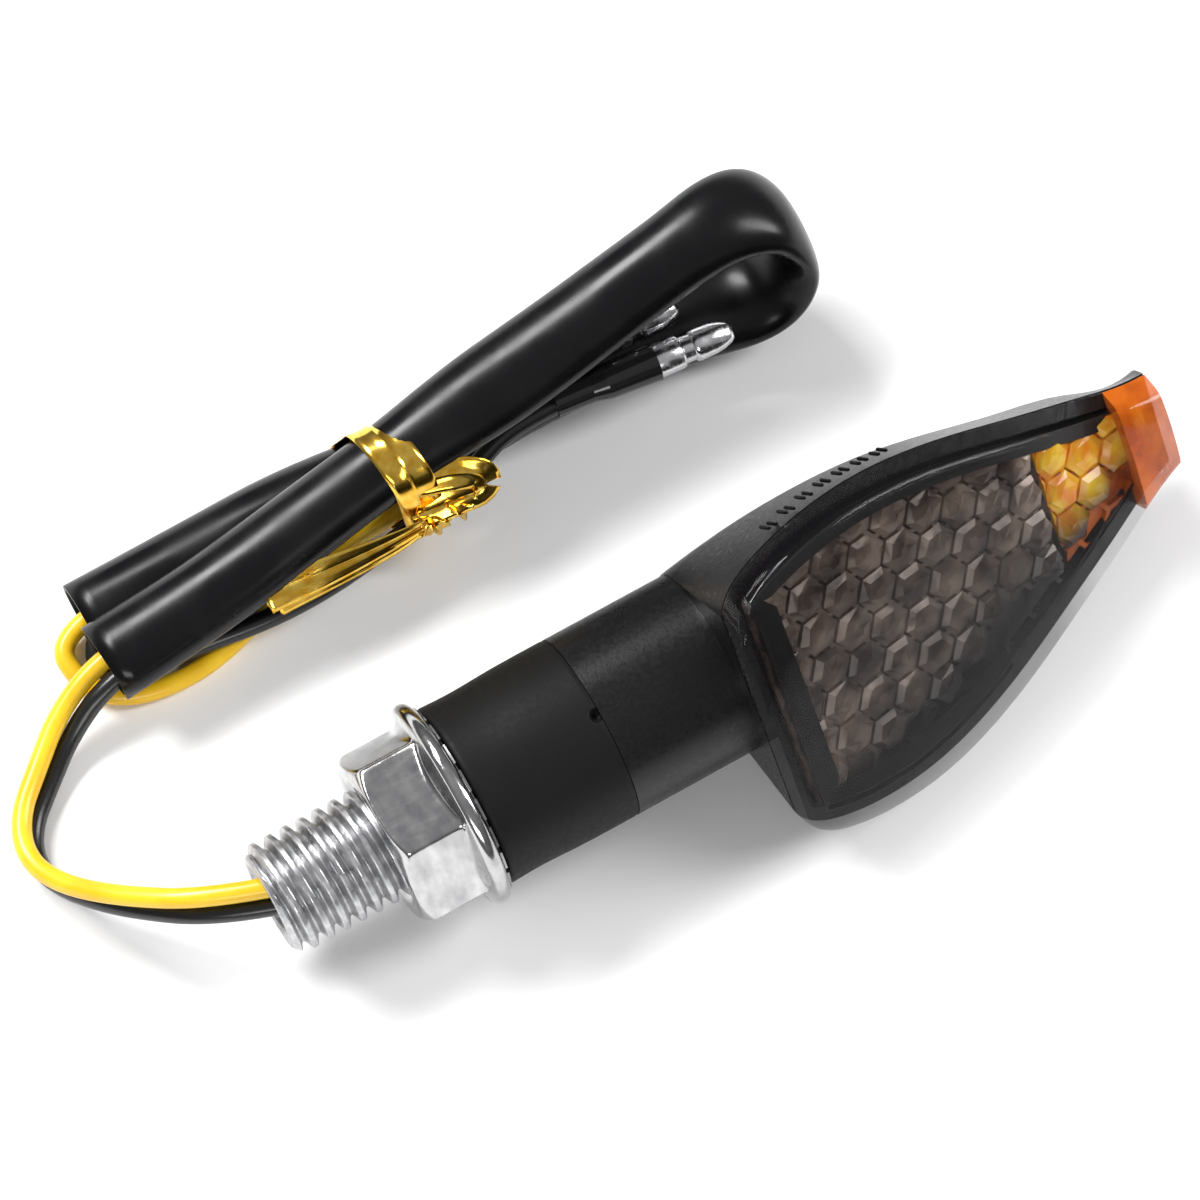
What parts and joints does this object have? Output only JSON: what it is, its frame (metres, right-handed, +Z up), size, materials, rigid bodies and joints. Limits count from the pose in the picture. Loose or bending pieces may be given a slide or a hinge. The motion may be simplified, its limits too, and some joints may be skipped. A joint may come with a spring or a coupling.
{
  "type": "turn signal indicator",
  "caption": "Motorcycle turn signal with a smoked arrow-shaped lens, flexible rubber stem, hollow threaded stud with flange nut, and sleeved leads with bullet terminals tied beside it.",
  "frame": {"origin": "centre of the bracket seat: the flat end of the rubber stem that bears on the bracket, on the stud's axis", "axes": "+X along the stem towards the lamp's tip, +Z up from the surface the lamp lies on, +Y towards the tied leads; -X is the stud's free end"},
  "size_m": [0.1017, 0.0528, 0.0276],
  "materials": {
    "stud_metal": "dull die-cast",
    "grommet_rubber": "matt",
    "yellow_pvc": "satin",
    "black_pvc": "satin",
    "sleeve_pvc": "gloss",
    "terminal_metal": "bright tinned",
    "boot_vinyl": "gloss",
    "gold_foil": "bright foil",
    "washer_steel": "plated",
    "nut_chrome": "bright plated",
    "stem_rubber": "matt",
    "housing_plastic": "fine grained",
    "smoked_plastic": "gloss, tinted clear",
    "amber_plastic": "gloss, tinted clear",
    "optic_plastic": "gloss, tinted clear",
    "board_laminate": "solder mask",
    "led_plastic": "gloss",
    "resistor_black": "matt",
    "diode_black": "matt",
    "solder": "bright",
    "clip_plastic": "matt",
    "bush_plastic": "matt"
  },
  "bodies": {
    "root": {"threaded_stud": "stud_metal", "stud_grommet": "grommet_rubber", "yellow_wire": "yellow_pvc", "black_wire": "black_pvc", "wire_sleeve": "sleeve_pvc", "yellow_bullet": "terminal_metal", "black_bullet": "terminal_metal", "yellow_bullet_boot": "boot_vinyl", "black_bullet_boot": "boot_vinyl", "tie_band": "gold_foil", "tie_tails": "gold_foil"},
    "washer": {"lock_washer": "washer_steel"},
    "nut": {"flange_nut": "nut_chrome"},
    "stem": {"rubber_stem": "stem_rubber", "yellow_inner_lead": "yellow_pvc", "black_inner_lead": "black_pvc"},
    "head": {"rear_housing": "housing_plastic", "smoked_lens": "smoked_plastic", "amber_tip_lens": "amber_plastic", "lens_bead": "housing_plastic", "honeycomb_optic": "optic_plastic", "led_board": "board_laminate", "leds": "led_plastic", "resistors": "resistor_black", "reverse_diode": "diode_black", "solder_joints": "solder", "board_clips": "clip_plastic", "stem_bush": "bush_plastic"}
  },
  "joints": [
    {"name": "nut_travel", "type": "slide", "parent": "root", "child": "washer", "axis": [1, 0, 0], "range_m": [-0.01, 0]},
    {"name": "nut_spin", "type": "hinge", "parent": "washer", "child": "nut", "pos_m": [-0.0043, 0, 0], "axis": [1, 0, 0], "range_deg": [-2401, 1]},
    {"name": "stem_bend_y", "type": "hinge", "parent": "root", "child": "stem", "pos_m": [0.0045, 0, 0], "axis": [0, 1, 0], "range_deg": [-15, 15], "stiffness_Nm_per_rad": 2, "deforming": ["rubber_stem", "yellow_inner_lead", "black_inner_lead"]},
    {"name": "stem_bend_z", "type": "hinge", "parent": "stem", "child": "head", "pos_m": [0.008, 0, 0], "axis": [0, 0, 1], "range_deg": [-15, 15], "stiffness_Nm_per_rad": 2, "deforming": ["rubber_stem", "yellow_inner_lead", "black_inner_lead"]}
  ],
  "couplings": [
    {"joint": "nut_spin", "follows": "nut_travel", "rad_per_m": 4188.8}
  ]
}
